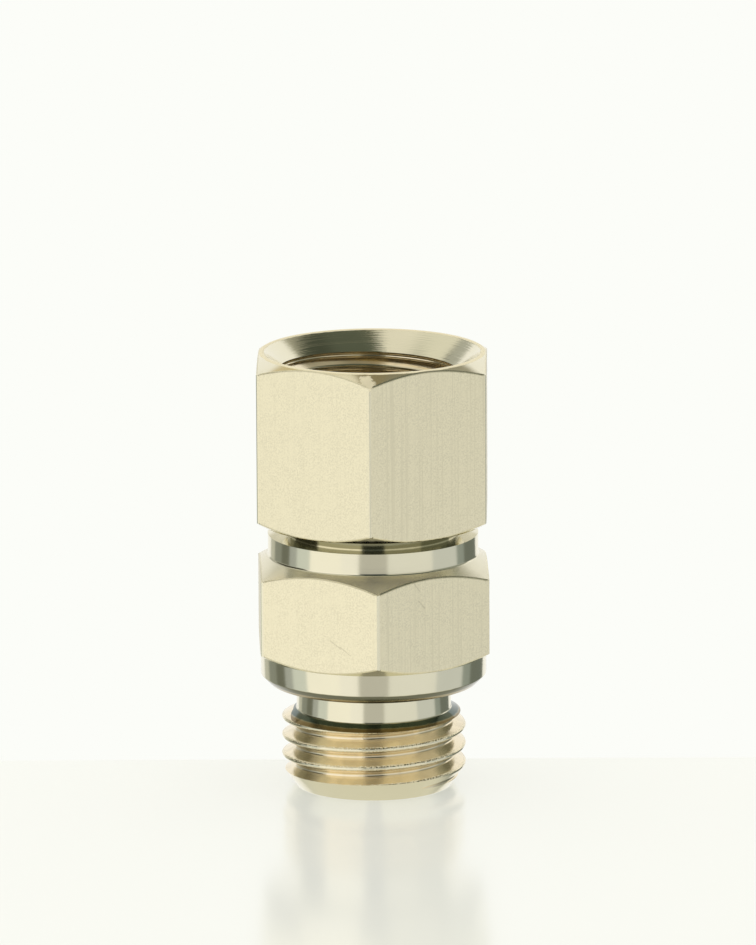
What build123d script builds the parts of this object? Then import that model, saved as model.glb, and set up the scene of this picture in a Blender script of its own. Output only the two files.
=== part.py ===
from build123d import *
import math
import os

# Swivel adapter fitting: a turned stud body with a hexagon nut that spins on its neck.
# Millimetres. The axis is Z, the stud's end face is z = 0 and the nut is at the top.

# Thread form, shared by the stud and the nut
thread_pitch = 1.337
thread_depth_per_pitch = 0.640327
thread_nominal_diameter = 13.157

# Stud
stud_thread_allowance = 0.207
stud_length = 7.45
lead_length = 1.4
lead_extra_depth = 0.12
undercut_width = 1.93
undercut_extra_depth = 0.17
undercut_corner_chamfer = 0.2
thread_runout_length = 0.42

# Round band under the body's hexagon, whose underside is the sealing face
band_height = 2.1
band_step_below_flats = 0.05
band_chamfer = 0.62

# Hexagons, of one spanner size that leaves this much metal outside the nut's thread
wall_over_thread = 1.4215
body_hexagon_height = 7.07
body_turn_angle = 1.65
nut_turn_angle = -1.2
hexagon_chamfer_angle = 30.0

# Collar and neck that the nut stands over
collar_height = 1.5
collar_step_below_flats = 0.6
collar_edge_chamfer = 0.12
collar_foot_chamfer = 0.12
neck_step_over_thread_bore = 0.28
nut_gap = 0.87
wall_inside_ring_groove = 1.5
flow_bore_chamfer = 0.3

# Nut
nut_height = 12.1
nut_floor_thickness = 3.1
nut_bottom_step_below_flats = 0.05
nut_bore_chamfer = 0.35
nut_lip_step_below_flats = 0.175
nut_lip_width = 0.17
countersink_angle = 45.0
relief_extra_depth = 0.12
relief_above_nose = 0.1

# Split spring ring that keeps the nut on the neck
ring_wire_size = 1.2
ring_wire_chamfer = 0.15
ring_height_in_nut = 1.6
ring_gap_angle = 20.0

# Cone nose that seals in the mating part, and the seal on it
nose_step_below_neck = 0.4
nose_shoulder_height = 0.4
nose_land_height = 0.35
nose_cone_angle = 30.0
nose_cone_height = 2.15
nose_tip_chamfer = 0.2
seal_cord_diameter = 1.0
seal_height_on_cone = 0.87
seal_stands_proud = 0.15
seal_squeeze = 0.15

# Clearances
running_clearance = 0.05
groove_clearance = 0.05
seal_clearance = 0.02

# How closely an edge's radius has to match when it is looked up
edge_match = 0.01

# Radii worked out from the sizes above
thread_depth = thread_depth_per_pitch * thread_pitch
thread_radius = thread_nominal_diameter / 2
flat_distance = thread_radius + wall_over_thread
stud_radius = thread_radius - stud_thread_allowance / 2
lead_radius = stud_radius - thread_depth - lead_extra_depth
undercut_radius = stud_radius - thread_depth - undercut_extra_depth
band_radius = flat_distance - band_step_below_flats
collar_radius = flat_distance - collar_step_below_flats
nut_thread_radius = thread_radius - thread_depth
neck_radius = nut_thread_radius + neck_step_over_thread_bore
nose_radius = neck_radius - nose_step_below_neck
nut_bore_radius = neck_radius + running_clearance
relief_radius = thread_radius + relief_extra_depth
nut_bottom_radius = flat_distance - nut_bottom_step_below_flats
lip_outer_radius = flat_distance - nut_lip_step_below_flats
lip_inner_radius = lip_outer_radius - nut_lip_width

# Ring groove: deep enough in the neck for the ring to close up as the nut slides over it
ring_radius = (neck_radius + nut_bore_radius) / 2
groove_width = ring_wire_size + 2 * groove_clearance
neck_groove_radius = neck_radius - ring_wire_size - groove_clearance
nut_groove_radius = ring_radius + ring_wire_size / 2 + groove_clearance
flow_radius = neck_groove_radius - wall_inside_ring_groove

# Heights worked out from the sizes above
undercut_bottom = stud_length - undercut_width
body_hexagon_bottom = stud_length + band_height
body_hexagon_top = body_hexagon_bottom + body_hexagon_height
collar_top = body_hexagon_top + collar_height
nut_bottom = collar_top + nut_gap
nut_floor_top = nut_bottom + nut_floor_thickness
nut_top = nut_bottom + nut_height
ring_height = nut_bottom + ring_height_in_nut
neck_top = nut_floor_top - nose_shoulder_height
cone_bottom = nut_floor_top + nose_land_height
cone_top = cone_bottom + nose_cone_height
relief_top = cone_top + relief_above_nose

# Slopes, as rise for each millimetre of radius or radius for each millimetre of rise
hexagon_slope = math.tan(math.radians(hexagon_chamfer_angle))
countersink_slope = math.tan(math.radians(countersink_angle))
nose_taper = math.tan(math.radians(nose_cone_angle))

countersink_bottom = nut_top - (lip_inner_radius - nut_thread_radius) / countersink_slope
nose_tip_radius = nose_radius - nose_cone_height * nose_taper

# Seal groove: a square groove in the cone, from which the cord stands proud
seal_height = cone_bottom + seal_height_on_cone
cone_radius_at_seal = nose_radius - seal_height_on_cone * nose_taper
seal_radius = cone_radius_at_seal + seal_stands_proud - seal_cord_diameter / 2
seal_inner_radius = seal_radius - seal_cord_diameter / 2 + seal_squeeze
seal_groove_floor = seal_inner_radius - seal_clearance
seal_groove_half_width = seal_cord_diameter / 2 + groove_clearance


def corner_cutter(bottom, top, bottom_radius, top_radius):
    """Turned shape that a hexagon is cut back to, with a cone at each end."""
    reach = 2 * flat_distance / math.sqrt(3)
    with BuildSketch(Plane.XZ) as outline:
        with BuildLine():
            Polyline(
                (0, bottom),
                (bottom_radius, bottom),
                (reach, bottom + (reach - bottom_radius) * hexagon_slope),
                (reach, top - (reach - top_radius) * hexagon_slope),
                (top_radius, top),
                (0, top),
                close=True,
            )
        make_face()
    return outline.sketch


# Stud body: hexagon first, then everything turned, then the bore and the two grooves
with BuildPart() as stud_body:
    with BuildSketch(Plane.XY.offset(body_hexagon_bottom)):
        RegularPolygon(flat_distance, 6, major_radius=False, rotation=30 + body_turn_angle)
    extrude(amount=body_hexagon_height)
    body_cutter = corner_cutter(body_hexagon_bottom, body_hexagon_top, band_radius, collar_radius)
    revolve(body_cutter, axis=Axis.Z, mode=Mode.INTERSECT)

    with BuildSketch(Plane.XZ) as turned_outline:
        with BuildLine():
            Polyline(
                (0, 0),
                (lead_radius, 0),
                (stud_radius, lead_length),
                (stud_radius, undercut_bottom - thread_runout_length),
                (undercut_radius, undercut_bottom),
                (undercut_radius, stud_length),
                (band_radius - band_chamfer, stud_length),
                (band_radius, stud_length + band_chamfer),
                (band_radius, body_hexagon_bottom),
                (collar_radius, body_hexagon_bottom),
                (collar_radius, collar_top),
                (neck_radius, collar_top),
                (neck_radius, neck_top),
                (nose_radius, nut_floor_top),
                (nose_radius, cone_bottom),
                (nose_tip_radius, cone_top),
                (0, cone_top),
                close=True,
            )
        make_face()
        undercut_corner = turned_outline.vertices().sort_by_distance((undercut_radius, stud_length))[0]
        collar_corner = turned_outline.vertices().sort_by_distance((collar_radius, collar_top))[0]
        nose_corner = turned_outline.vertices().sort_by_distance((nose_tip_radius, cone_top))[0]
        chamfer(undercut_corner, undercut_corner_chamfer)
        chamfer(collar_corner, collar_edge_chamfer)
        chamfer(nose_corner, nose_tip_chamfer)
    revolve(axis=Axis.Z)

    collar_foot = stud_body.edges().filter_by(GeomType.CIRCLE).sort_by_distance(
        (collar_radius, 0, body_hexagon_top)
    )[0]
    chamfer(collar_foot, collar_foot_chamfer)

    with BuildSketch(Plane.XZ):
        with Locations((flow_radius / 2, cone_top / 2)):
            Rectangle(flow_radius, cone_top)
        with Locations((neck_groove_radius, ring_height)):
            Rectangle(neck_radius, groove_width, align=(Align.MIN, Align.CENTER))
        with Locations((seal_groove_floor, seal_height)):
            Rectangle(nose_radius, 2 * seal_groove_half_width, align=(Align.MIN, Align.CENTER))
    revolve(axis=Axis.Z, mode=Mode.SUBTRACT)

    bore_edges = stud_body.edges().filter_by(GeomType.CIRCLE).filter_by(
        lambda edge: abs(edge.radius - flow_radius) < edge_match
    )
    chamfer(bore_edges, flow_bore_chamfer)

# Swivel nut: hexagon, countersunk mouth, threaded bore, relief, floor and ring groove
with BuildPart() as swivel_nut:
    with BuildSketch(Plane.XY.offset(nut_bottom)):
        RegularPolygon(flat_distance, 6, major_radius=False, rotation=30 + nut_turn_angle)
    extrude(amount=nut_height)
    nut_cutter = corner_cutter(nut_bottom, nut_top, nut_bottom_radius, lip_outer_radius)
    revolve(nut_cutter, axis=Axis.Z, mode=Mode.INTERSECT)

    with BuildSketch(Plane.XZ):
        with BuildLine():
            Polyline(
                (0, nut_bottom),
                (nut_bore_radius + nut_bore_chamfer, nut_bottom),
                (nut_bore_radius, nut_bottom + nut_bore_chamfer),
                (nut_bore_radius, nut_floor_top),
                (relief_radius, nut_floor_top),
                (relief_radius, relief_top),
                (nut_thread_radius, relief_top + relief_radius - nut_thread_radius),
                (nut_thread_radius, countersink_bottom),
                (lip_inner_radius, nut_top),
                (0, nut_top),
                close=True,
            )
        make_face()
        with Locations((nut_groove_radius, ring_height)):
            Rectangle(nut_groove_radius, groove_width, align=(Align.MAX, Align.CENTER))
    revolve(axis=Axis.Z, mode=Mode.SUBTRACT)

# Retaining ring: square wire, open at one side so that it can be squeezed into the neck's groove
with BuildPart() as retaining_ring:
    with BuildSketch(Plane.XZ):
        with Locations((ring_radius, ring_height)):
            wire_section = Rectangle(ring_wire_size, ring_wire_size)
        chamfer(wire_section.vertices(), ring_wire_chamfer)
    revolve(axis=Axis.Z, revolution_arc=360 - ring_gap_angle)

# Seal on the cone nose: round cord, pressed flat against its groove's floor
with BuildPart() as nose_seal:
    with BuildSketch(Plane.XZ):
        with Locations((seal_radius, seal_height)):
            Circle(seal_cord_diameter / 2)
        with Locations((seal_inner_radius, seal_height)):
            Rectangle(
                seal_cord_diameter, seal_cord_diameter,
                align=(Align.MAX, Align.CENTER), mode=Mode.SUBTRACT
            )
    revolve(axis=Axis.Z)

stud_body.part.label = "stud_body"
swivel_nut.part.label = "swivel_nut"
retaining_ring.part.label = "retaining_ring"
nose_seal.part.label = "nose_seal"

os.makedirs("parts", exist_ok=True)
export_step(stud_body.part, "parts/stud_body.step")
export_step(swivel_nut.part, "parts/swivel_nut.step")
export_step(retaining_ring.part, "parts/retaining_ring.step")
export_step(nose_seal.part, "parts/nose_seal.step")
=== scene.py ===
import math

import bmesh
import bpy
from mathutils import Matrix, Vector


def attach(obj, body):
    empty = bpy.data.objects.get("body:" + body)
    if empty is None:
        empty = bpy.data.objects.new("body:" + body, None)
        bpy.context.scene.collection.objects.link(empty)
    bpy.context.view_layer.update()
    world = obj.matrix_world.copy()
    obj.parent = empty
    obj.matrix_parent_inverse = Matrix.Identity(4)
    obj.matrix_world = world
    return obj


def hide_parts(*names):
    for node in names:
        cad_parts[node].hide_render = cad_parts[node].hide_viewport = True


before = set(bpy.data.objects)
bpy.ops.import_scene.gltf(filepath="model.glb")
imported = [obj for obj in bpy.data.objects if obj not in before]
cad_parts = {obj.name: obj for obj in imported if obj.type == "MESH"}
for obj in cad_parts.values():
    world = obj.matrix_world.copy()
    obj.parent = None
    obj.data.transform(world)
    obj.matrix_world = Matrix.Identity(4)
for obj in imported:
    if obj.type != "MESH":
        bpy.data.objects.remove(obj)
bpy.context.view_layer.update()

bl_info = {
    "name": "Swivel Adapter Fitting",
    "version": (1, 0, 0),
    "blender": (4, 5, 0),
    "location": "3D View > Sidebar > Fitting",
    "description": "Builds a nickel-plated swivel adapter fitting and a studio to show it in",
    "category": "Add Mesh",
}

# Lengths in the properties are in metres. Meshes are modelled in millimetres and scaled down at the end.
MM = 0.001
MICRON = 0.000001

STEPS_ROUND = 240
STEPS_THREAD = 120
ARC_STEPS = 6
SHARP_ANGLE = math.radians(24)
WELD = 0.0005

# Material slots on the metal pieces
TURNED, FLAT, THREAD = 0, 1, 2

# How far the turned blank reaches past the hexagons' corners, in millimetres
BLANK_OVERSIZE = 0.2

# Edges, in millimetres
EDGE_BREAK = 0.05
UNDERCUT_FILLET = 0.2
COLLAR_FOOT_FILLET = 0.12
LIP_EDGE = 0.04
NUT_FOOT_EDGE = 0.15
WIRE_EDGE = 0.15
ARC_EDGE = 0.11
BODY_CORNER_EDGE = 0.20
NUT_CORNER_EDGE = 0.08
BORE_CHAMFER = 0.3
NUT_BORE_CHAMFER = 0.35
NECK_END_CHAMFER = 0.4

# The nose, its seal and the ring's grooves, in millimetres and degrees
NOSE_STEP = 0.4
NOSE_LAND = 0.35
NOSE_CONE_HEIGHT = 2.15
NOSE_CONE_ANGLE = 30
SEAL_RISE = 0.87
SEAL_PROUD = 0.15
SEAL_SQUEEZE = 0.15
SEAL_CLEARANCE = 0.02
GROOVE_PLAY = 0.05
RELIEF_OVER_NOSE = 0.1
NUT_BOTTOM_STEP = 0.05

# A 55 degree thread: rounding of crests and roots as a share of the pitch, and half the angle
THREAD_ROUNDING = 0.137329
HALF_FLANK = math.radians(27.5)

# Where the nut's front corner is worn: both ends of the mark, in millimetres
WORN_CORNER = (((-0.45, -8.45, 30.72), (-0.15, -8.95, 30.4)),)

# Where the flats are scratched: both ends of each line, in millimetres
SCRATCHES = (
    ((3.165, -7.446, 14.80), (3.586, -7.187, 14.24)),
    ((2.813, -7.664, 16.15), (3.235, -7.404, 15.51)),
    ((-3.024, -7.458, 11.99), (-2.30, -7.849, 11.50)),
    ((-2.35, -7.822, 11.62), (-1.617, -8.217, 11.08)),
)

# Colour of the backdrop, which the floor takes on behind the fitting
BACKDROP = (0.973, 0.982, 0.94, 1)
FLOOR_HALF_SIZE = 0.6


# Outlines and turned shapes

def outline(points):
    """A closed loop of edges from (radius, height) points, standing in the XZ plane."""
    bm = bmesh.new()
    verts = [bm.verts.new((radius, 0, height)) for radius, height in points]
    for here, there in zip(verts, verts[1:] + verts[:1]):
        bm.edges.new((here, there))
    return bm, verts


def round_corners(bm, verts, radius, segments=3):
    bmesh.ops.bevel(
        bm, geom=verts, offset=radius, offset_type="OFFSET", segments=segments,
        profile=0.5, affect="VERTICES", material=-1,
    )


def turn(bm):
    """Turns every edge of the outline once round the Z axis."""
    bmesh.ops.spin(
        bm, geom=bm.verts[:] + bm.edges[:], cent=(0, 0, 0), axis=(0, 0, 1), dvec=(0, 0, 0),
        angle=math.tau, steps=STEPS_ROUND, use_merge=True, use_duplicate=False,
    )
    bmesh.ops.remove_doubles(bm, verts=bm.verts, dist=WELD)
    bmesh.ops.recalc_face_normals(bm, faces=bm.faces)


def flat_normals(turn_angle):
    """Directions of a hexagon's six flats. A corner points along -Y when turn_angle is 0."""
    first = math.radians(-60 + turn_angle)
    facing = [first + k * math.tau / 6 for k in range(6)]
    return [Vector((math.cos(turned), math.sin(turned), 0)) for turned in facing]


def cut_flats(bm, distance, turn_angle):
    """Mills six flats: cuts away what lies outside each plane and closes the cut."""
    for normal in flat_normals(turn_angle):
        cut = bmesh.ops.bisect_plane(
            bm, geom=bm.verts[:] + bm.edges[:] + bm.faces[:], dist=WELD,
            plane_co=normal * distance, plane_no=normal, clear_outer=True,
        )
        edges = [item for item in cut["geom_cut"] if isinstance(item, bmesh.types.BMEdge)]
        rim = [edge for edge in edges if edge.is_boundary]
        filled = bmesh.ops.edgeloop_fill(bm, edges=rim)
        for face in filled["faces"]:
            face.material_index = FLAT
            face.normal_update()
            if face.normal.dot(normal) < 0:
                face.normal_flip()


def soften_flats(bm, arc_width, corner_width):
    """Breaks the edges round the flats: wider between two flats, finer where a flat meets a cone."""
    bm.normal_update()
    corners = []
    arcs = []
    for edge in bm.edges:
        kinds = [face.material_index == FLAT for face in edge.link_faces]
        if kinds == [True, True]:
            corners.append(edge)
        elif sum(kinds) == 1:
            arcs.append(edge)
    for edges, width, material in ((corners, corner_width, TURNED), (arcs, arc_width, FLAT)):
        edges = [edge for edge in edges if edge.is_valid]
        bmesh.ops.bevel(
            bm, geom=edges, offset=width, offset_type="OFFSET", segments=3, profile=0.5,
            affect="EDGES", clamp_overlap=False, material=material,
        )


def groove_outline(sign, top_radius, pitch, depth, crest_land, overshoot):
    """Half-open V of a 55 degree thread with rounded root and crests, as (radius, height) points.

    sign is +1 for a groove cut inwards into a stud and -1 for one cut outwards into a bore.
    """
    rounding = THREAD_ROUNDING * pitch
    points = []
    root_centre = top_radius - sign * (depth - rounding)
    crest_centre = top_radius - sign * rounding
    for step in range(ARC_STEPS + 1):
        angle = (math.pi / 2 - HALF_FLANK) * step / ARC_STEPS
        points.append((root_centre - sign * rounding * math.cos(angle), rounding * math.sin(angle)))
    for step in range(ARC_STEPS, -1, -1):
        angle = (math.pi / 2 - HALF_FLANK) * step / ARC_STEPS
        height = pitch / 2 - rounding * math.sin(angle)
        height = min(height, (pitch - crest_land) / 2)
        points.append((crest_centre + sign * rounding * math.cos(angle), height))
        if height == (pitch - crest_land) / 2:
            break
    points.append((top_radius + sign * overshoot, points[-1][1]))
    mirrored = [(radius, -height) for radius, height in reversed(points[1:])]
    return mirrored + points


def helix_cutter(
    name, points, pitch, start_height, start_angle, turns, fade_turns=0.0, fade_shift=0.0,
):
    """Sweeps a groove's outline up a right-hand helix and closes both ends.

    Over the first fade_turns the outline moves in from fade_shift outside its place, so that
    the groove starts softly.
    """
    bm = bmesh.new()
    verts = [bm.verts.new((radius + fade_shift, 0, height + start_height)) for radius, height in points]
    ring = [bm.edges.new(pair) for pair in zip(verts, verts[1:] + verts[:1])]
    bmesh.ops.rotate(bm, verts=verts, cent=(0, 0, 0), matrix=Matrix.Rotation(start_angle, 3, "Z"))
    steps = round(STEPS_THREAD * turns)
    fade_steps = round(STEPS_THREAD * fade_turns)
    leading = verts + ring
    for step in range(steps):
        swept = bmesh.ops.spin(
            bm, geom=leading, cent=(0, 0, 0), axis=(0, 0, 1), dvec=(0, 0, pitch * turns / steps),
            angle=math.tau * turns / steps, steps=1, use_merge=False, use_duplicate=False,
        )
        leading = swept["geom_last"]
        if step < fade_steps:
            angle = start_angle + math.tau * turns * (step + 1) / steps
            inward = Vector((-math.cos(angle), -math.sin(angle), 0)) * (fade_shift / fade_steps)
            moved = [item for item in leading if isinstance(item, bmesh.types.BMVert)]
            bmesh.ops.translate(bm, verts=moved, vec=inward)
    last = [item for item in leading if isinstance(item, bmesh.types.BMEdge)]
    bmesh.ops.edgeloop_fill(bm, edges=last)
    bmesh.ops.edgeloop_fill(bm, edges=ring)
    bmesh.ops.recalc_face_normals(bm, faces=bm.faces)
    for face in bm.faces:
        face.material_index = THREAD
    mesh = bpy.data.meshes.new(name)
    bm.to_mesh(mesh)
    bm.free()
    return mesh


def cut_away(mesh, cutter_mesh, materials):
    """Returns mesh with the cutter's shape taken out of it."""
    block = bpy.data.objects.new("block", mesh)
    cutter = bpy.data.objects.new("cutter", cutter_mesh)
    for thing in (block, cutter):
        bpy.context.scene.collection.objects.link(thing)
        for material in materials:
            thing.data.materials.append(material)
    step = block.modifiers.new("cut", "BOOLEAN")
    step.operation = "DIFFERENCE"
    step.solver = "EXACT"
    step.material_mode = "INDEX"
    step.object = cutter
    bpy.context.view_layer.update()
    ready = block.evaluated_get(bpy.context.evaluated_depsgraph_get())
    result = bpy.data.meshes.new_from_object(ready)
    bpy.data.objects.remove(block)
    bpy.data.objects.remove(cutter)
    bpy.data.meshes.remove(cutter_mesh)
    return result


def finish_piece(name, mesh, materials, body, node):
    """Scales a millimetre mesh to metres, shades it and puts it into the frame."""
    mesh.name = name
    mesh.transform(Matrix.Scale(MM, 4))
    if not mesh.materials:
        for material in materials:
            mesh.materials.append(material)
    mesh.shade_smooth()
    mesh.set_sharp_from_angle(angle=SHARP_ANGLE)
    bm = bmesh.new()
    bm.from_mesh(mesh)
    for edge in bm.edges:
        if len({face.material_index == FLAT for face in edge.link_faces}) == 2:
            edge.smooth = False
    bm.to_mesh(mesh)
    bm.free()
    piece = bpy.data.objects.new(name, mesh)
    bpy.context.scene.collection.objects.link(piece)
    even = piece.modifiers.new("even shading", "WEIGHTED_NORMAL")
    even.keep_sharp = True
    even.weight = 100
    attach(piece, body)
    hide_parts(node)
    return piece


def to_mesh(bm, name):
    mesh = bpy.data.meshes.new(name)
    bm.to_mesh(mesh)
    bm.free()
    return mesh


# Node helpers

def node(tree, kind, inputs=None, **settings):
    new = tree.nodes.new(kind)
    for key, value in settings.items():
        setattr(new, key, value)
    for key, value in (inputs or {}).items():
        if isinstance(value, bpy.types.NodeSocket):
            tree.links.new(value, new.inputs[key])
        else:
            new.inputs[key].default_value = value
    return new


def maths(tree, operation, first, second=0.0, third=0.0, clamp=False):
    inputs = {0: first, 1: second, 2: third}
    return node(tree, "ShaderNodeMath", inputs, operation=operation, use_clamp=clamp).outputs[0]


def ramp_between(tree, value, low, high):
    """0 below low, 1 above high, smooth between."""
    new = node(tree, "ShaderNodeMapRange", {"Value": value, "From Min": low, "From Max": high},
               interpolation_type="SMOOTHSTEP")
    return new.outputs["Result"]


def mix_colour(tree, factor, first, second, blend="MIX"):
    new = node(tree, "ShaderNodeMix", data_type="RGBA", blend_type=blend)
    for socket, value in ((new.inputs[0], factor), (new.inputs[6], first), (new.inputs[7], second)):
        if isinstance(value, bpy.types.NodeSocket):
            tree.links.new(value, socket)
        else:
            socket.default_value = value
    return new.outputs[2]


def opaque(colour, brightness=1.0):
    """A colour for a socket, made darker or lighter."""
    return (*[channel * brightness for channel in colour], 1)


def noise(tree, place, scale, detail):
    """A value that wanders between 0 and 1 over the piece."""
    inputs = {"Vector": place, "Scale": scale, "Detail": detail}
    return node(tree, "ShaderNodeTexNoise", inputs).outputs["Fac"]


def on_piece(tree):
    """The place on the piece, and its three parts."""
    place = node(tree, "ShaderNodeTexCoord").outputs["Object"]
    return place, node(tree, "ShaderNodeSeparateXYZ", {0: place}).outputs


def from_axis(tree, parts):
    """Distance from the Z axis."""
    across = node(tree, "ShaderNodeCombineXYZ", {0: parts[0], 1: parts[1], 2: 0.0}).outputs[0]
    return node(tree, "ShaderNodeVectorMath", {0: across}, operation="LENGTH").outputs["Value"]


def new_group(name, inputs, outputs):
    tree = bpy.data.node_groups.new(name, "ShaderNodeTree")
    for label, kind, default in inputs:
        socket = tree.interface.new_socket(label, in_out="INPUT", socket_type=kind)
        socket.default_value = default
    for label, kind in outputs:
        tree.interface.new_socket(label, in_out="OUTPUT", socket_type=kind)
    return tree, tree.nodes.new("NodeGroupInput").outputs, tree.nodes.new("NodeGroupOutput").inputs


def place_group(tree, group, inputs):
    new = tree.nodes.new("ShaderNodeGroup")
    new.node_tree = group
    for key, value in inputs.items():
        if isinstance(value, bpy.types.NodeSocket):
            tree.links.new(value, new.inputs[key])
        else:
            new.inputs[key].default_value = value
    return new.outputs


# Surface effects that the metal finishes share

def speckle_group():
    """Fine grain of plated metal: pinpoint pits and a slow cloudiness."""
    tree, given, out = new_group(
        "Speckle",
        [("Grain Size", "NodeSocketFloat", 120 * MICRON), ("Cloud Size", "NodeSocketFloat", 1600 * MICRON)],
        [("Pits", "NodeSocketFloat"), ("Cloud", "NodeSocketFloat")],
    )
    place = node(tree, "ShaderNodeTexCoord").outputs["Object"]
    grain_scale = maths(tree, "DIVIDE", 1.0, given["Grain Size"])
    cloud_scale = maths(tree, "DIVIDE", 1.0, given["Cloud Size"])
    tree.links.new(noise(tree, place, grain_scale, 2.0), out["Pits"])
    tree.links.new(noise(tree, place, cloud_scale, 3.0), out["Cloud"])
    return tree


def tool_marks_group():
    """Rings left by a turning tool: noise that changes along the axis and the radius, hardly round it."""
    tree, given, out = new_group(
        "Tool Marks", [("Ring Spacing", "NodeSocketFloat", 60 * MICRON)], [("Rings", "NodeSocketFloat")],
    )
    drift = 90.0
    radius_share = 0.71
    parts = on_piece(tree)[1]
    along = maths(tree, "ADD", parts[2], maths(tree, "MULTIPLY", from_axis(tree, parts), radius_share))
    rings = maths(tree, "DIVIDE", along, given["Ring Spacing"])
    drift_x = maths(tree, "MULTIPLY", parts[0], drift)
    drift_y = maths(tree, "MULTIPLY", parts[1], drift)
    grid = node(tree, "ShaderNodeCombineXYZ", {0: drift_x, 1: drift_y, 2: rings}).outputs[0]
    tree.links.new(noise(tree, grid, 1.0, 2.0), out["Rings"])
    return tree


def drawn_lines_group():
    """Straight marks along the axis, as on bar that was drawn through a die."""
    tree, given, out = new_group(
        "Drawn Lines", [("Line Spacing", "NodeSocketFloat", 90 * MICRON)], [("Lines", "NodeSocketFloat")],
    )
    drift = 60.0
    parts = on_piece(tree)[1]
    tight = maths(tree, "DIVIDE", 1.0, given["Line Spacing"])
    x = maths(tree, "MULTIPLY", parts[0], tight)
    y = maths(tree, "MULTIPLY", parts[1], tight)
    z = maths(tree, "MULTIPLY", parts[2], drift)
    grid = node(tree, "ShaderNodeCombineXYZ", {0: x, 1: y, 2: z}).outputs[0]
    tree.links.new(noise(tree, grid, 1.0, 3.0), out["Lines"])
    return tree


def scratch_group():
    """1 along a straight line between two places, falling to 0 at its width, with a ragged edge."""
    tree, given, out = new_group(
        "Scratch",
        [("From", "NodeSocketVector", (0, 0, 0)), ("To", "NodeSocketVector", (0, 0, 0.001)),
         ("Width", "NodeSocketFloat", 100 * MICRON), ("Ragged", "NodeSocketFloat", 0.5)],
        [("Mask", "NodeSocketFloat")],
    )
    place = node(tree, "ShaderNodeTexCoord").outputs["Object"]
    tooth_scale = 3500.0

    def vectors(operation, first, second):
        return node(tree, "ShaderNodeVectorMath", {0: first, 1: second}, operation=operation).outputs

    run = vectors("SUBTRACT", given["To"], given["From"])["Vector"]
    offset = vectors("SUBTRACT", place, given["From"])["Vector"]
    reach = maths(tree, "DIVIDE", vectors("DOT_PRODUCT", offset, run)["Value"],
                  vectors("DOT_PRODUCT", run, run)["Value"], clamp=True)
    scaled = node(tree, "ShaderNodeVectorMath", {0: run, "Scale": reach}, operation="SCALE")
    away = vectors("DISTANCE", offset, scaled.outputs["Vector"])["Value"]
    wobble = maths(tree, "SUBTRACT", noise(tree, place, tooth_scale, 3.0), 0.5)
    edge = maths(tree, "MULTIPLY", maths(tree, "MULTIPLY", wobble, given["Ragged"]), given["Width"])
    share = maths(tree, "DIVIDE", maths(tree, "ADD", away, edge), given["Width"])
    mask = node(tree, "ShaderNodeMapRange", {"Value": share, "From Min": 1.0, "From Max": 0.6})
    tree.links.new(mask.outputs["Result"], out["Mask"])
    return tree


def height_band(tree, low, high, soft=0.04):
    """1 between two heights on the piece, 0 elsewhere, with a slightly uneven edge. In millimetres."""
    unevenness = 0.03
    wander_scale = 1400.0
    place, parts = on_piece(tree)
    wander = noise(tree, place, wander_scale, 2.0)
    uneven = maths(tree, "MULTIPLY_ADD", wander, 2 * unevenness * MM, -unevenness * MM)
    height = maths(tree, "ADD", parts[2], uneven)
    rise = ramp_between(tree, height, (low - soft) * MM, (low + soft) * MM)
    fall = ramp_between(tree, height, (high - soft) * MM, (high + soft) * MM)
    return maths(tree, "SUBTRACT", rise, fall)


def scratches(tree, groups, marks, width, ragged):
    """The largest of the masks of several scratches, each given as two places in millimetres."""
    most = 0.0
    for start, end in marks:
        inputs = {
            "From": [c * MM for c in start], "To": [c * MM for c in end],
            "Width": width * MM, "Ragged": ragged,
        }
        most = maths(tree, "MAXIMUM", place_group(tree, groups["scratch"], inputs)["Mask"], most)
    return most


def metal(name, colour, roughness):
    material = bpy.data.materials.new(name)
    material.use_nodes = True
    tree = material.node_tree
    tree.nodes.clear()
    shader = node(tree, "ShaderNodeBsdfPrincipled", {"Metallic": 1.0, "Roughness": roughness})
    shader.inputs["Base Color"].default_value = (*colour, 1.0)
    node(tree, "ShaderNodeOutputMaterial", {"Surface": shader.outputs[0]})
    return material, tree, shader


def bump(tree, shader, height, distance):
    new = node(tree, "ShaderNodeBump", {"Height": height, "Distance": distance})
    tree.links.new(new.outputs["Normal"], shader.inputs["Normal"])


def paint_shade_band(tree, shade, low, high, shade_tint):
    """Paints shade: darkens a colour between two heights in millimetres."""
    return mix_colour(tree, height_band(tree, low, high), shade, shade_tint, "MULTIPLY")


def painted_recess_shade(tree, looks, sizes, shade):
    """Painted shade in the groove over the stud's thread, on the chamfer above it and behind the collar."""
    stud_top = sizes.stud_length / MM
    runout_top = stud_top - sizes.undercut_width / MM
    runout_bottom = runout_top - sizes.runout / MM
    chamfer_top = stud_top + sizes.band_chamfer / MM
    brown_share = 0.45
    lighter_share = 0.38
    unshaded_foot = 0.05
    black_bottom = runout_bottom + brown_share * (runout_top - runout_bottom)
    deep_bottom = stud_top + lighter_share * (chamfer_top - stud_top)
    collar_top, nut_bottom = [height / MM for height in body_heights(sizes)[2:]]
    # Painted shade on the runout flank: brown at its foot, near-black above
    shade = paint_shade_band(tree, shade, runout_bottom, black_bottom, looks.runout_brown_shade)
    shade = paint_shade_band(tree, shade, black_bottom, runout_top, looks.runout_black_shade)
    # Painted shade on the chamfer round the sealing face: lighter below, darker at its upper part
    shade = paint_shade_band(tree, shade, stud_top, deep_bottom, looks.chamfer_shade)
    shade = paint_shade_band(tree, shade, deep_bottom, chamfer_top, looks.deep_chamfer_shade)
    # Painted shade on the neck between the collar and the nut
    return paint_shade_band(tree, shade, collar_top + unshaded_foot, nut_bottom, looks.gap_shade)


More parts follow.
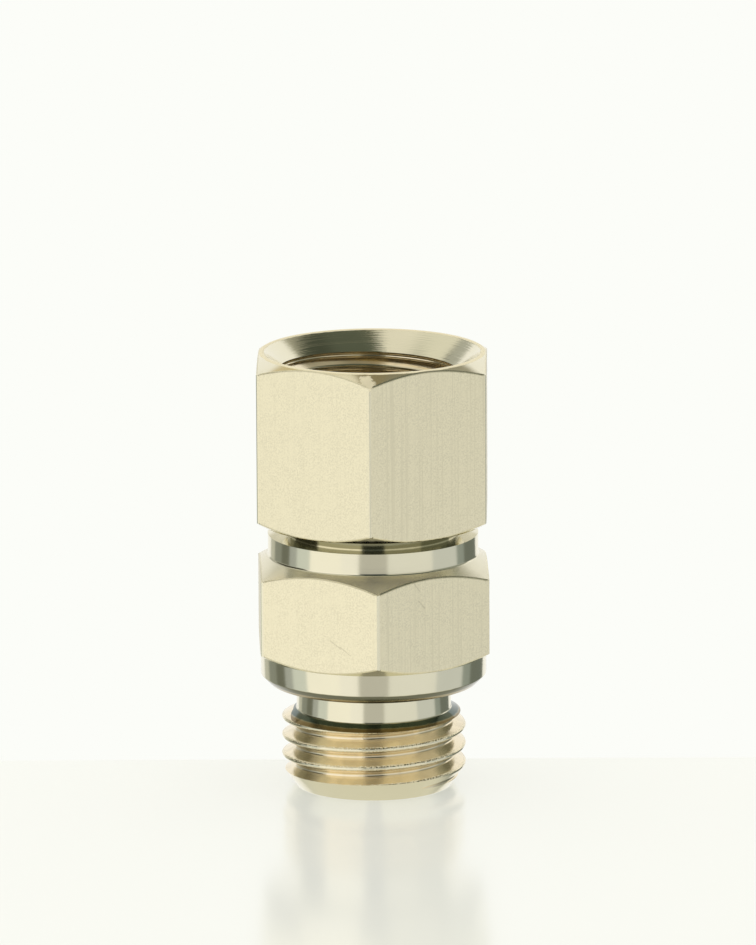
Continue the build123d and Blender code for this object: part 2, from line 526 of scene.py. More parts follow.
def turned_finish(groups, looks, sizes):
    """Bright plate over turned brass, with faint rings, painted shade in the recesses and one worn corner.
    """
    material, tree, shader = metal("Turned Nickel", looks.nickel, looks.turned_roughness)
    cloud_shade = 0.94
    worn_width = 0.52
    worn_ragged = 1.6
    worn_plate_loss = 0.9
    worn_roughness = 0.4
    lip_depth = 0.07
    cone_depth = 1.3
    cone_plate_loss = 0.2
    cone_roughness = 0.12
    ring_roughness = 0.06
    mouth_depth = 2.2
    mouth_ring_gain = 3.0
    pit_share = 0.25
    relief = 2.2 * MICRON
    rings = place_group(tree, groups["tool_marks"], {"Ring Spacing": 70 * MICRON})["Rings"]
    specks = place_group(tree, groups["speckle"], {"Grain Size": 140 * MICRON, "Cloud Size": 2200 * MICRON})
    shade = mix_colour(tree, specks["Cloud"], opaque(looks.nickel), opaque(looks.nickel, cloud_shade))
    # Painted shade in the groove over the thread, on the sealing chamfer and on the neck under the nut
    shade = painted_recess_shade(tree, looks, sizes, shade)

    hexagon_top, nut_bottom = [body_heights(sizes)[place] / MM for place in (1, 3)]
    nut_top = nut_bottom + sizes.nut_height / MM
    worn = scratches(tree, groups, WORN_CORNER, worn_width, worn_ragged)
    worn = maths(tree, "MULTIPLY", worn, maths(tree, "MULTIPLY_ADD", rings, 0.5, 0.5))
    lip = height_band(tree, nut_top - lip_depth, nut_top + 1, soft=0.01)
    worn = maths(tree, "MAXIMUM", worn, lip)
    shade = mix_colour(tree, worn, shade, opaque(looks.worn_colour))
    tree.links.new(shade, shader.inputs["Base Color"])

    top_cone = height_band(tree, hexagon_top - cone_depth, hexagon_top - 0.02)
    plated = maths(tree, "MULTIPLY_ADD", top_cone, -cone_plate_loss, 1.0)
    metallic = maths(tree, "MULTIPLY_ADD", worn, -worn_plate_loss, plated)
    tree.links.new(metallic, shader.inputs["Metallic"])

    smoothest = looks.turned_roughness - ring_roughness / 2
    rough = maths(tree, "MULTIPLY_ADD", rings, ring_roughness, smoothest)
    rough = maths(tree, "MULTIPLY_ADD", top_cone, cone_roughness, rough)
    rough = maths(tree, "MULTIPLY_ADD", worn, worn_roughness, rough)
    tree.links.new(rough, shader.inputs["Roughness"])

    mouth = height_band(tree, nut_top - mouth_depth, nut_top - 0.03)
    rings = maths(tree, "MULTIPLY", rings, maths(tree, "MULTIPLY_ADD", mouth, mouth_ring_gain, 1.0))
    bump(tree, shader, maths(tree, "MULTIPLY_ADD", specks["Pits"], pit_share, rings), relief)
    return material


def thread_finish(groups, looks, sizes):
    """Plate on the thread's turns: rougher and warmer than on the turned faces, with burred crests."""
    material, tree, shader = metal("Thread Nickel", looks.thread_nickel, looks.thread_roughness)
    bare_share = 0.3
    bare_shade = 0.72
    burr_plate_loss = 0.8
    cloud_roughness = 0.12
    crest_width = 0.2 * MM
    crest_full = 0.08 * MM
    relief = 3 * MICRON
    specks = place_group(tree, groups["speckle"], {"Grain Size": 100 * MICRON, "Cloud Size": 1200 * MICRON})
    bare = maths(tree, "MULTIPLY", ramp_between(tree, specks["Cloud"], 0.46, 0.66), bare_share)
    shade = mix_colour(tree, bare, opaque(looks.thread_nickel), opaque(looks.thread_nickel, bare_shade))

    radius = from_axis(tree, on_piece(tree)[1])
    crest = ramp_between(tree, radius, sizes.stud_radius - crest_width, sizes.stud_radius - crest_full)
    crest = maths(tree, "MULTIPLY", crest, height_band(tree, 0, sizes.stud_length / MM))
    burr = maths(tree, "MULTIPLY", crest, ramp_between(tree, specks["Pits"], 0.42, 0.6))
    shade = mix_colour(tree, burr, shade, opaque(looks.worn_colour))
    tree.links.new(shade, shader.inputs["Base Color"])
    tree.links.new(maths(tree, "MULTIPLY_ADD", burr, -burr_plate_loss, 1.0), shader.inputs["Metallic"])
    smoothest = looks.thread_roughness - cloud_roughness / 2
    rough = maths(tree, "MULTIPLY_ADD", specks["Cloud"], cloud_roughness, smoothest)
    tree.links.new(rough, shader.inputs["Roughness"])
    bump(tree, shader, specks["Pits"], relief)
    return material


def flat_finish(groups, looks):
    """Satin plate on the hexagon's flats: speckled, with drawn lines and a few scratches."""
    material, tree, shader = metal("Satin Nickel", looks.satin_nickel, looks.flat_roughness)
    grain_shade = 0.85
    left_lines = 0.2
    extra_lines_right = 0.45
    seam_half_width = 0.5 * MM
    scratch_width = 0.05
    scratch_ragged = 1.6
    scratch_share = 0.4
    scratch_shade = 0.6
    scratch_depth = 1.2
    line_depth = 0.5
    cloud_roughness = 0.10
    relief = 4 * MICRON
    specks = place_group(tree, groups["speckle"], {"Grain Size": 110 * MICRON, "Cloud Size": 1100 * MICRON})
    lines = place_group(tree, groups["drawn_lines"], {"Line Spacing": 130 * MICRON})["Lines"]
    plate = opaque(looks.satin_nickel)
    dark = opaque(looks.satin_nickel, grain_shade)
    grain = mix_colour(tree, ramp_between(tree, specks["Pits"], 0.30, 0.66), dark, plate)
    shade = mix_colour(tree, ramp_between(tree, specks["Cloud"], 0.35, 0.9), grain, plate)

    across = on_piece(tree)[1][0]
    right_side = ramp_between(tree, across, -seam_half_width, seam_half_width)
    line_strength = maths(tree, "MULTIPLY_ADD", right_side, extra_lines_right, left_lines)
    streak = maths(tree, "MULTIPLY", ramp_between(tree, lines, 0.50, 0.66), line_strength)
    shade = mix_colour(tree, streak, shade, dark)

    marks = scratches(tree, groups, SCRATCHES, scratch_width, scratch_ragged)
    marked = maths(tree, "MULTIPLY", marks, scratch_share)
    shade = mix_colour(tree, marked, shade, opaque(looks.satin_nickel, scratch_shade))
    tree.links.new(shade, shader.inputs["Base Color"])
    smoothest = looks.flat_roughness - cloud_roughness / 2
    rough = maths(tree, "MULTIPLY_ADD", specks["Cloud"], cloud_roughness, smoothest)
    tree.links.new(rough, shader.inputs["Roughness"])
    height = maths(tree, "MULTIPLY_ADD", lines, line_depth, specks["Pits"])
    height = maths(tree, "MULTIPLY_ADD", marks, -scratch_depth, height)
    bump(tree, shader, height, relief)
    return material


def wire_finish(groups, looks):
    """Drawn spring steel, with rings where the wire was coiled."""
    material, tree, shader = metal("Spring Wire", looks.wire_colour, 0.3)
    rings = place_group(tree, groups["tool_marks"], {"Ring Spacing": 100 * MICRON})["Rings"]
    tree.links.new(maths(tree, "MULTIPLY_ADD", rings, 0.15, 0.22), shader.inputs["Roughness"])
    return material


def rubber_finish(groups, looks):
    """Matt black rubber with a faint bloom."""
    material, tree, shader = metal("Nitrile Rubber", looks.rubber_colour, 0.55)
    shader.inputs["Metallic"].default_value = 0.0
    specks = place_group(tree, groups["speckle"], {"Grain Size": 90 * MICRON, "Cloud Size": 800 * MICRON})
    bloom = mix_colour(tree, specks["Cloud"], opaque(looks.rubber_colour), opaque(looks.rubber_colour, 1.5))
    tree.links.new(bloom, shader.inputs["Base Color"])
    bump(tree, shader, specks["Pits"], 4 * MICRON)
    return material


def metal_set(looks, sizes):
    """Every finish by name. They share one set of surface effects."""
    groups = {
        "speckle": speckle_group(), "tool_marks": tool_marks_group(),
        "drawn_lines": drawn_lines_group(), "scratch": scratch_group(),
    }
    return {
        "turned": turned_finish(groups, looks, sizes), "flat": flat_finish(groups, looks),
        "thread": thread_finish(groups, looks, sizes), "wire": wire_finish(groups, looks),
        "rubber": rubber_finish(groups, looks),
    }


FINISHES = {}


def finishes(context):
    if not FINISHES:
        FINISHES.update(metal_set(context.scene.fitting_looks, context.scene.fitting_sizes))
    return FINISHES


def plate_slots(context):
    """The plated pieces' materials, in the order of their slots."""
    metals = finishes(context)
    return [metals["turned"], metals["flat"], metals["thread"]]


# Sizes and colours that a user would change

def length(name, description, millimetres):
    return bpy.props.FloatProperty(
        name=name, description=description, default=millimetres * MM, unit="LENGTH", precision=5,
    )


def angle(name, description, degrees):
    return bpy.props.FloatProperty(
        name=name, description=description, default=math.radians(degrees), subtype="ANGLE",
    )


def colour(name, description, value):
    return bpy.props.FloatVectorProperty(
        name=name, description=description, default=value, size=3, subtype="COLOR", min=0, max=1,
    )


def shade_colour(name, description, value):
    """A colour that multiplies the plate's, as painted shade."""
    return bpy.props.FloatVectorProperty(
        name=name, description=description, default=(*value, 1.0), size=4, subtype="COLOR", min=0, max=1,
    )


class FittingSizes(bpy.types.PropertyGroup):
    flat_distance: length("Flat Distance", "From the axis to a flat of either hexagon", 8.0)
    chamfer_angle: angle("Corner Chamfer", "Slope of the cones that cut the hexagons' corners", 30)
    thread_pitch: length("Thread Pitch", "Distance between two turns of either thread", 1.337)
    thread_depth: length("Thread Depth", "From a crest to a root", 0.856)
    crest_land: length("Crest Land", "Width left flat on each crest", 0.10)
    stud_radius: length("Stud Radius", "Outside radius of the male thread", 6.475)
    stud_length: length("Stud Length", "From the end face to the sealing face", 7.45)
    lead_length: length("Lead Length", "Height of the chamfer at the stud's end", 1.4)
    lead_depth: length("Lead Depth", "How far that chamfer cuts in", 0.976)
    undercut_radius: length("Undercut Radius", "Radius of the groove above the male thread", 5.449)
    undercut_width: length("Undercut Width", "Height of that groove", 1.93)
    runout: length("Runout", "Height of the cone from the male thread down into the groove", 0.42)
    runout_corner: length("Runout Corner", "How far the hollow corner under the groove reaches", 0.10)
    band_radius: length("Band Radius", "Radius of the round band under the hexagon", 7.95)
    band_height: length("Band Height", "Height of that band", 2.1)
    band_chamfer: length("Band Chamfer", "Chamfer round the sealing face", 0.62)
    hexagon_height: length("Hexagon Height", "Height of the body's hexagon with its cones", 7.07)
    body_turn: angle("Body Turn", "Turn of the body's hexagon from the front", 1.65)
    collar_radius: length("Collar Radius", "Radius of the collar above the hexagon", 7.4)
    collar_height: length("Collar Height", "Height of that collar", 1.5)
    neck_radius: length("Neck Radius", "Radius of the neck that the nut runs on", 6.0024)
    flow_radius: length("Flow Radius", "Radius of the bore through the body", 3.2524)
    nut_gap: length("Nut Gap", "Gap between the collar and the nut", 0.87)
    nut_height: length("Nut Height", "Height of the nut", 12.1)
    nut_turn: angle("Nut Turn", "Turn of the nut's hexagon from the front", -1.2)
    nut_floor: length("Nut Floor", "Thickness of the nut's floor, which runs on the neck", 3.1)
    nut_bore_radius: length("Nut Bore Radius", "Radius of the hole in that floor", 6.0524)
    nut_thread_radius: length("Nut Thread Radius", "Inside radius of the female thread", 5.7224)
    relief_radius: length("Relief Radius", "Radius of the space under the female thread", 6.6985)
    lip_radius: length("Lip Radius", "Outer radius of the lip round the mouth", 7.825)
    lip_width: length("Lip Width", "Width of that lip", 0.17)
    ring_size: length("Ring Wire", "Side of the retaining ring's square wire", 1.2)
    ring_height: length("Ring Height", "Height of the ring above the nut's underside", 1.6)
    seal_cord: length("Seal Cord", "Diameter of the seal's cord", 1.0)


class FittingLooks(bpy.types.PropertyGroup):
    nickel: colour("Nickel", "Plate on the turned faces", (0.85, 0.805, 0.62))
    satin_nickel: colour("Satin Nickel", "Plate on the flats", (0.937, 0.867, 0.635))
    thread_nickel: colour("Thread Nickel", "Plate on the threads", (0.88, 0.775, 0.56))
    wire_colour: colour("Wire", "Spring steel of the retaining ring", (0.55, 0.54, 0.52))
    rubber_colour: colour("Rubber", "Seal", (0.018, 0.018, 0.018))
    worn_colour: colour("Worn Plate", "Rubbed corner and lip at the nut's top", (0.92, 0.83, 0.56))
    # Painted shade at the foot of the runout flank, brown
    runout_brown_shade: shade_colour("Brown Shade", "Darkening at the foot of the stud's runout", (0.30, 0.24, 0.15))
    # Painted shade in the groove above the stud's thread, near-black blue-green
    runout_black_shade: shade_colour("Black Shade", "Darkening in the groove above the stud's thread", (0.09, 0.14, 0.155))
    # Painted shade on the chamfer round the sealing face
    chamfer_shade: shade_colour("Chamfer Shade", "Darkening of the chamfer at the sealing face", (0.50, 0.44, 0.34))
    # Painted shade, darker, on that chamfer's upper part
    deep_chamfer_shade: shade_colour("Deep Shade", "Darkening of that chamfer's upper part", (0.21, 0.22, 0.19))
    # Painted shade on the neck in the gap between the collar and the nut
    gap_shade: shade_colour("Gap Shade", "Darkening of the neck between the collar and the nut", (0.40, 0.40, 0.32))
    turned_roughness: bpy.props.FloatProperty(
        name="Turned Roughness", description="Roughness of the turned faces", default=0.12, min=0, max=1)
    thread_roughness: bpy.props.FloatProperty(
        name="Thread Roughness", description="Roughness of the threads", default=0.17, min=0, max=1)
    flat_roughness: bpy.props.FloatProperty(
        name="Flat Roughness", description="Roughness of the flats", default=0.36, min=0, max=1)


class StudioSettings(bpy.types.PropertyGroup):
    distance: length("Camera Distance", "From the camera to the middle of the fitting", 690)
    view_height: length("View Height", "Height of the point that the camera is set by", 15.62)
    view_angle: angle("View Angle", "How far the camera looks down", 12.9)
    floor_edge: length("Floor Edge", "Where the floor's tone changes behind the fitting", 6.3)
    floor_colour: colour("Floor", "Pale floor", (0.95, 0.96, 0.885))


class SizesInMillimetres:
    """Reads the size properties in millimetres."""

    def __init__(self, group):
        self.group = group

    def __getattr__(self, name):
        return getattr(self.group, name) / MM


def body_heights(s):
    hexagon_bottom = s.stud_length + s.band_height
    hexagon_top = hexagon_bottom + s.hexagon_height
    collar_top = hexagon_top + s.collar_height
    nut_bottom = collar_top + s.nut_gap
    return hexagon_bottom, hexagon_top, collar_top, nut_bottom


def nose_shape(s):
    """Top of the nut's floor, foot of the nose's cone, the nose's radius and the cone's taper."""
    floor_top = body_heights(s)[3] + s.nut_floor
    taper = math.tan(math.radians(NOSE_CONE_ANGLE))
    return floor_top, floor_top + NOSE_LAND, s.neck_radius - NOSE_STEP, taper


def seal_place(s):
    """Height of the seal's middle, and the cone's radius there."""
    cone_bottom, nose_radius, taper = nose_shape(s)[1:]
    return cone_bottom + SEAL_RISE, nose_radius - SEAL_RISE * taper


class FITTING_OT_stud_body(bpy.types.Operator):
    """Model the turned body with its stud, hexagon, collar, neck and nose"""
    bl_idname = "fitting.stud_body"
    bl_label = "Stud Body"

    def execute(self, context):
        sizes = context.scene.fitting_sizes
        s = SizesInMillimetres(sizes)
        hexagon_bottom, hexagon_top, collar_top, nut_bottom = body_heights(s)
        floor_top, cone_bottom, nose_radius, taper = nose_shape(s)
        seal_height, cone_at_seal = seal_place(s)
        slope = math.tan(sizes.chamfer_angle)
        reach = s.flat_distance / math.cos(math.pi / 6) + BLANK_OVERSIZE
        ring_height = nut_bottom + s.ring_height
        groove = s.ring_size / 2 + GROOVE_PLAY
        groove_floor = s.neck_radius - s.ring_size - GROOVE_PLAY
        seal_floor = cone_at_seal + SEAL_PROUD - s.seal_cord + SEAL_SQUEEZE - SEAL_CLEARANCE
        seal_half = s.seal_cord / 2 + GROOVE_PLAY
        cone_top = cone_bottom + NOSE_CONE_HEIGHT
        tip_radius = nose_radius - NOSE_CONE_HEIGHT * taper
        under = s.stud_length - s.undercut_width
        bm, verts = outline([
            (s.flow_radius + BORE_CHAMFER, 0),
            (s.stud_radius - s.lead_depth, 0),
            (s.stud_radius, s.lead_length),
            (s.stud_radius, under - s.runout),
            (s.undercut_radius, under),
            (s.undercut_radius, s.stud_length),
            (s.band_radius - s.band_chamfer, s.stud_length),
            (s.band_radius, s.stud_length + s.band_chamfer),
            (s.band_radius, hexagon_bottom),
            (reach, hexagon_bottom + (reach - s.band_radius) * slope),
            (reach, hexagon_top - (reach - s.collar_radius) * slope),
            (s.collar_radius, hexagon_top),
            (s.collar_radius, collar_top),
            (s.neck_radius, collar_top),
            (s.neck_radius, ring_height - groove),
            (groove_floor, ring_height - groove),
            (groove_floor, ring_height + groove),
            (s.neck_radius, ring_height + groove),
            (s.neck_radius, floor_top - NECK_END_CHAMFER),
            (nose_radius, floor_top),
            (nose_radius, cone_bottom),
            (cone_at_seal + seal_half * taper, seal_height - seal_half),
            (seal_floor, seal_height - seal_half),
            (seal_floor, seal_height + seal_half),
            (cone_at_seal - seal_half * taper, seal_height + seal_half),
            (tip_radius, cone_top),
            (s.flow_radius + BORE_CHAMFER, cone_top),
            (s.flow_radius, cone_top - BORE_CHAMFER),
            (s.flow_radius, BORE_CHAMFER),
        ])
        # Corners by their place in the list above, counted from 0
        lead_foot, lead_top, runout_foot, undercut_corner = 1, 2, 4, 5
        face_edge, band_edge, collar_foot, nose_tip = 6, 7, 11, 25
        rounded = (
            ((lead_foot, lead_top, face_edge, band_edge, nose_tip), EDGE_BREAK, 3),
            ((undercut_corner,), UNDERCUT_FILLET, 5),
            ((collar_foot,), COLLAR_FOOT_FILLET, 4),
            ((runout_foot,), s.runout_corner, 6),
        )
        for corners, radius, segments in rounded:
            round_corners(bm, [verts[corner] for corner in corners], radius, segments)
        turn(bm)
        cut_flats(bm, s.flat_distance, math.degrees(sizes.body_turn))
        soften_flats(bm, ARC_EDGE, BODY_CORNER_EDGE)

        overshoot = 0.5
        crest_at_front = 5.22
        first_turn = math.radians(8)
        turns = 4
        groove_points = groove_outline(
            1, s.stud_radius, s.thread_pitch, s.thread_depth, s.crest_land, overshoot
        )
        start = crest_at_front + s.thread_pitch * (0.5 - turns + first_turn / math.tau)
        cutter = helix_cutter(
            "stud_groove", groove_points, s.thread_pitch, start, first_turn - math.pi / 2, turns,
            fade_turns=0.3, fade_shift=overshoot,
        )
        slots = plate_slots(context)
        mesh = cut_away(to_mesh(bm, "stud_body_turned"), cutter, slots)
        finish_piece("stud_body_turned", mesh, slots, "stud", "stud_body")
        return {"FINISHED"}


class FITTING_OT_swivel_nut(bpy.types.Operator):
    """Model the hexagon nut with its floor, thread and countersunk mouth"""
    bl_idname = "fitting.swivel_nut"
    bl_label = "Swivel Nut"

    def execute(self, context):
        sizes = context.scene.fitting_sizes
        s = SizesInMillimetres(sizes)
        nut_bottom = body_heights(s)[3]
        floor_top, cone_bottom = nose_shape(s)[:2]
        nut_top = nut_bottom + s.nut_height
        slope = math.tan(sizes.chamfer_angle)
        reach = s.flat_distance / math.cos(math.pi / 6) + BLANK_OVERSIZE
        bottom_radius = s.flat_distance - NUT_BOTTOM_STEP
        ring_height = nut_bottom + s.ring_height
        groove = s.ring_size / 2 + GROOVE_PLAY
        groove_top = s.nut_bore_radius + s.ring_size / 2 + GROOVE_PLAY / 2
        relief_top = cone_bottom + NOSE_CONE_HEIGHT + RELIEF_OVER_NOSE
        inner_lip = s.lip_radius - s.lip_width
        bm, verts = outline([
            (s.nut_bore_radius + NUT_BORE_CHAMFER, nut_bottom),
            (bottom_radius, nut_bottom),
            (reach, nut_bottom + (reach - bottom_radius) * slope),
            (reach, nut_top - (reach - s.lip_radius) * slope),
            (s.lip_radius, nut_top),
            (inner_lip, nut_top),
            (s.nut_thread_radius, nut_top - (inner_lip - s.nut_thread_radius)),
            (s.nut_thread_radius, relief_top + s.relief_radius - s.nut_thread_radius),
            (s.relief_radius, relief_top),
            (s.relief_radius, floor_top),
            (s.nut_bore_radius, floor_top),
            (s.nut_bore_radius, ring_height + groove),
            (groove_top, ring_height + groove),
            (groove_top, ring_height - groove),
            (s.nut_bore_radius, ring_height - groove),
            (s.nut_bore_radius, nut_bottom + NUT_BORE_CHAMFER),
        ])
        # Corners by their place in the list above, counted from 0
        bottom_edge, lip_outside, lip_inside = 1, 4, 5
        rounded = (((lip_outside, lip_inside), LIP_EDGE, 3), ((bottom_edge,), NUT_FOOT_EDGE, 4))
        for corners, radius, segments in rounded:
            round_corners(bm, [verts[corner] for corner in corners], radius, segments)
        turn(bm)
        cut_flats(bm, s.flat_distance, math.degrees(sizes.nut_turn))
        soften_flats(bm, ARC_EDGE, NUT_CORNER_EDGE)

        overshoot = 0.3
        root_at_back = 29.45
        turns = 5
        groove_points = groove_outline(
            -1, s.nut_thread_radius, s.thread_pitch, s.thread_depth, s.crest_land, overshoot
        )
        start = root_at_back + 1.5 * s.thread_pitch - turns * s.thread_pitch
        cutter = helix_cutter(
            "nut_groove", groove_points, s.thread_pitch, start, math.pi / 2 + math.pi, turns
        )
        slots = plate_slots(context)
        mesh = cut_away(to_mesh(bm, "swivel_nut_hexagon"), cutter, slots)
        finish_piece("swivel_nut_hexagon", mesh, slots, "nut", "swivel_nut")
        return {"FINISHED"}


def split_ring_mesh(s):
    """Square wire swept most of the way round, with its gap left open."""
    ring_height = body_heights(s)[3] + s.ring_height
    ring_radius = (s.neck_radius + s.nut_bore_radius) / 2
    half = s.ring_size / 2
    swept_angle = math.radians(340)
    bm, verts = outline([
        (ring_radius - half, ring_height - half), (ring_radius + half, ring_height - half),
        (ring_radius + half, ring_height + half), (ring_radius - half, ring_height + half),
    ])
    round_corners(bm, verts, WIRE_EDGE)
    bmesh.ops.edgeloop_fill(bm, edges=bm.edges[:])
    bmesh.ops.spin(
        bm, geom=bm.faces[:], cent=(0, 0, 0), axis=(0, 0, 1), dvec=(0, 0, 0),
        angle=swept_angle, steps=180, use_merge=False, use_duplicate=False,
    )
    bmesh.ops.recalc_face_normals(bm, faces=bm.faces)
    return to_mesh(bm, "split_ring")


def seal_mesh(s):
    """Round cord, pressed flat where it rests on its groove's floor."""
    seal_height, cone_at_seal = seal_place(s)
    cord = s.seal_cord / 2
    seal_radius = cone_at_seal + SEAL_PROUD - cord
    half_flat = math.acos((cord - SEAL_SQUEEZE) / cord)
    count = 28
    points = []
    for step in range(count + 1):
        turned = -math.pi + half_flat + (math.tau - 2 * half_flat) * step / count
        points.append((seal_radius + cord * math.cos(turned), seal_height + cord * math.sin(turned)))
    bm = outline(points)[0]
    turn(bm)
    return to_mesh(bm, "nose_seal_cord")


class FITTING_OT_ring_and_seal(bpy.types.Operator):
    """Model the split retaining ring and the seal on the nose"""
    bl_idname = "fitting.ring_and_seal"
    bl_label = "Ring and Seal"

    def execute(self, context):
        s = SizesInMillimetres(context.scene.fitting_sizes)
        metals = finishes(context)
        wire = [metals["wire"]]
        rubber = [metals["rubber"]]
        finish_piece("split_ring", split_ring_mesh(s), wire, "stud", "retaining_ring")
        finish_piece("nose_seal_cord", seal_mesh(s), rubber, "stud", "nose_seal")
        return {"FINISHED"}


def set_ramp(ramp, stops):
    """stops is a list of (place from 0 to 1, colour)."""
    elements = ramp.color_ramp.elements
    elements[0].position, elements[0].color = stops[0][0], (*stops[0][1], 1)
    elements[1].position, elements[1].color = stops[-1][0], (*stops[-1][1], 1)
    for place, value in stops[1:-1]:
        elements.new(place).color = (*value, 1)


def bands(edges):
    """edges is a list of (degrees from the front, colour on from there). A change takes two degrees."""
    half_change = 0.003
    stops = []
    last = edges[0][1]
    for degrees, value in edges:
        here = (degrees + 180) / 360
        stops.append((max(0.0, here - half_change), last))
        stops.append((here + half_change, value))
        last = value
    stops.append((1.0, last))
    return stops


def studio_world(context):
    """Pale surroundings with the darker gaps and cards of a small studio, as the metal sees them.

    Layers lie one over another by height, and each has its own bands round the fitting.
    """
    world = bpy.data.worlds.new("Studio")
    context.scene.world = world
    world.use_nodes = True
    tree = world.node_tree
    tree.nodes.clear()
    toward = node(tree, "ShaderNodeTexCoord").outputs["Generated"]
    parts = node(tree, "ShaderNodeSeparateXYZ", {0: toward}).outputs
    front = maths(tree, "MULTIPLY", parts[1], -1.0)
    around = maths(tree, "ARCTAN2", parts[0], front)
    share = maths(tree, "MULTIPLY_ADD", around, 1 / math.tau, 0.5)

    def layer(edges):
        new = node(tree, "ShaderNodeValToRGB", {0: share})
        set_ramp(new, bands(edges))
        return new.outputs[0]

    white = (1.0, 0.995, 0.97)
    level = layer([
        (-180, white), (-150, (0.55, 0.56, 0.50)), (-136, (0.27, 0.29, 0.26)),
        (-119, (0.17, 0.18, 0.15)), (-104, (0.42, 0.45, 0.45)), (-92, (0.68, 0.73, 0.72)),
        (-73, (1.05, 1.04, 0.99)), (-35, (1.0, 0.995, 0.98)), (-15.4, (0.565, 0.565, 0.54)),
        (15.4, (0.83, 0.84, 0.82)), (68, (0.64, 0.67, 0.68)), (104, (0.30, 0.34, 0.33)),
        (118, (0.17, 0.19, 0.17)), (150, white),
    ])
    horizon = layer([
        (-180, white), (-150, (0.45, 0.46, 0.42)), (-104, (0.45, 0.48, 0.47)),
        (-73, (1.05, 1.04, 1.0)), (-15.4, (0.31, 0.31, 0.32)), (15.4, (0.62, 0.62, 0.62)),
        (68, (0.45, 0.47, 0.46)), (118, (0.25, 0.27, 0.25)), (150, white),
    ])
    glow = layer([
        (-180, white), (-150, (0.45, 0.46, 0.42)), (-130, (0.06, 0.06, 0.045)),
        (-80, (1.1, 1.08, 1.04)), (-15.4, (0.058, 0.07, 0.07)), (15.4, (0.62, 0.62, 0.56)),
        (68, (0.30, 0.32, 0.28)), (125, white),
    ])
    upper = layer([
        (-180, (0.20, 0.165, 0.10)), (-168, (0.66, 0.57, 0.37)), (-146, (0.80, 0.79, 0.70)),
        (-104, (0.60, 0.60, 0.53)), (-34, (0.20, 0.23, 0.19)), (-15.4, (0.022, 0.036, 0.03)),
        (15.4, (0.05, 0.07, 0.055)), (68, (0.06, 0.07, 0.05)), (125, (0.385, 0.38, 0.31)),
        (150, (0.33, 0.31, 0.24)), (168, (0.20, 0.165, 0.10)),
    ])
    zenith = layer([
        (-180, (0.28, 0.24, 0.145)), (-168, (0.88, 0.84, 0.72)), (-140, (0.85, 0.83, 0.75)),
        (-34, (0.093, 0.108, 0.08)), (125, (0.26, 0.245, 0.18)), (168, (0.28, 0.24, 0.145)),
    ])
    board = (0.76, 0.75, 0.65)
    low = layer([(-180, board), (-15.4, (0.33, 0.33, 0.30)), (15.4, board)])
    # Where one layer gives way to the next: heights in a ball of radius 1
    changes = (
        (-0.08, -0.03, horizon), (0.06, 0.13, glow), (0.54, 0.62, upper), (0.84, 0.92, zenith),
        (-0.45, -0.78, low), (-0.90, -0.96, opaque(board)),
    )
    seen = level
    for begin, end, beyond in changes:
        seen = mix_colour(tree, ramp_between(tree, parts[2], begin, end), seen, beyond)

    path = node(tree, "ShaderNodeLightPath").outputs

    def glowing(colour, strength):
        return node(tree, "ShaderNodeBackground", {"Color": colour, "Strength": strength}).outputs[0]

    def choose(ray, otherwise, chosen):
        return node(tree, "ShaderNodeMixShader", {0: path[ray], 1: otherwise, 2: chosen}).outputs[0]

    room = glowing((1.0, 0.995, 0.98, 1), 0.95)
    mirrored = choose("Is Glossy Ray", room, glowing(seen, 1.0))
    shown = choose("Is Camera Ray", mirrored, glowing(BACKDROP, 1.0))
    node(tree, "ShaderNodeOutputWorld", {"Surface": shown})


def floor_finish(settings):
    """Glossy pale board, which turns plain white behind the fitting."""
    material, tree, shader = metal("Floor", settings.floor_colour, 0.16)
    change_width = 0.6 * MM
    shader.inputs["Metallic"].default_value = 0.0
    shader.inputs["IOR"].default_value = 1.6
    shader.inputs["Base Color"].default_value = opaque(settings.floor_colour, 0.42)
    shader.inputs["Emission Color"].default_value = opaque(settings.floor_colour)
    shader.inputs["Emission Strength"].default_value = 0.445
    parts = on_piece(tree)[1]
    behind = ramp_between(tree, parts[1], settings.floor_edge, settings.floor_edge + change_width)
    white = node(tree, "ShaderNodeEmission", {"Color": BACKDROP, "Strength": 1.0})
    output = next(item for item in tree.nodes if item.type == "OUTPUT_MATERIAL")
    joined = node(tree, "ShaderNodeMixShader", {0: behind, 1: shader.outputs[0], 2: white.outputs[0]})
    tree.links.new(joined.outputs[0], output.inputs["Surface"])
    return material


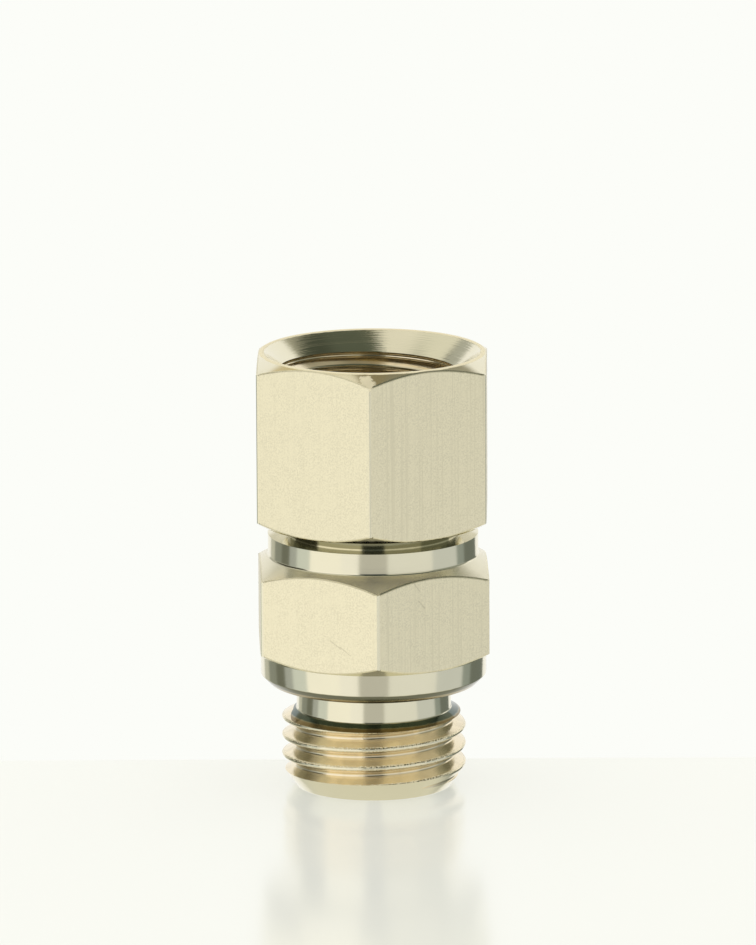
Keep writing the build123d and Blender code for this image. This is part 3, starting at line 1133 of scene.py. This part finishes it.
class FITTING_OT_studio(bpy.types.Operator):
    """Set up the pale floor, the soft surroundings and the camera"""
    bl_idname = "fitting.studio"
    bl_label = "Studio"

    def execute(self, context):
        scene = context.scene
        settings = scene.fitting_studio
        scene.view_settings.view_transform = "Standard"

        bm = bmesh.new()
        bmesh.ops.create_grid(bm, x_segments=2, y_segments=2, size=FLOOR_HALF_SIZE)
        floor = bpy.data.objects.new("floor", to_mesh(bm, "floor"))
        floor.data.materials.append(floor_finish(settings))
        floor.visible_glossy = False
        scene.collection.objects.link(floor)
        studio_world(context)

        photo_width = 756
        photo_height = 945
        pixels_per_mm = 14.22
        middle_across = 372.6
        middle_down = 566.0
        lean = 0.0045
        distance_pixels = pixels_per_mm * settings.distance / MM
        camera = bpy.data.cameras.new("camera")
        camera.sensor_fit = "HORIZONTAL"
        camera.sensor_width = 36
        camera.lens = camera.sensor_width * distance_pixels / photo_width
        camera.clip_start = 0.01
        camera.clip_end = 10
        shot = bpy.data.objects.new("camera", camera)
        look_down = settings.view_angle - (middle_down - photo_height / 2) / distance_pixels
        look_right = (photo_width / 2 - middle_across) / distance_pixels
        place = Vector((
            0, -settings.distance * math.cos(settings.view_angle),
            settings.view_height + settings.distance * math.sin(settings.view_angle),
        ))
        shot.matrix_world = (
            Matrix.Translation(place)
            @ Matrix.Rotation(-look_right, 4, "Z")
            @ Matrix.Rotation(math.pi / 2 - look_down, 4, "X")
            @ Matrix.Rotation(-lean, 4, "Z")
        )
        scene.collection.objects.link(shot)
        scene.camera = shot
        return {"FINISHED"}


class FITTING_PT_panel(bpy.types.Panel):
    bl_label = "Swivel Adapter Fitting"
    bl_idname = "FITTING_PT_panel"
    bl_space_type = "VIEW_3D"
    bl_region_type = "UI"
    bl_category = "Fitting"

    def draw(self, context):
        layout = self.layout
        for step in STEPS:
            layout.operator(step.bl_idname)
        scene = context.scene
        for group in (scene.fitting_sizes, scene.fitting_looks, scene.fitting_studio):
            box = layout.box()
            for name in group.bl_rna.properties.keys():
                if name not in ("rna_type", "name"):
                    box.prop(group, name)


STEPS = (FITTING_OT_studio, FITTING_OT_stud_body, FITTING_OT_swivel_nut, FITTING_OT_ring_and_seal)
CLASSES = (FittingSizes, FittingLooks, StudioSettings, *STEPS, FITTING_PT_panel)


def register():
    for item in CLASSES:
        bpy.utils.register_class(item)
    bpy.types.Scene.fitting_sizes = bpy.props.PointerProperty(type=FittingSizes)
    bpy.types.Scene.fitting_looks = bpy.props.PointerProperty(type=FittingLooks)
    bpy.types.Scene.fitting_studio = bpy.props.PointerProperty(type=StudioSettings)


def unregister():
    del bpy.types.Scene.fitting_studio
    del bpy.types.Scene.fitting_looks
    del bpy.types.Scene.fitting_sizes
    for item in reversed(CLASSES):
        bpy.utils.unregister_class(item)


def main():
    register()
    bpy.ops.fitting.studio()
    bpy.ops.fitting.stud_body()
    bpy.ops.fitting.swivel_nut()
    bpy.ops.fitting.ring_and_seal()
    bpy.context.view_layer.update()


if __name__ == "__main__":
    main()
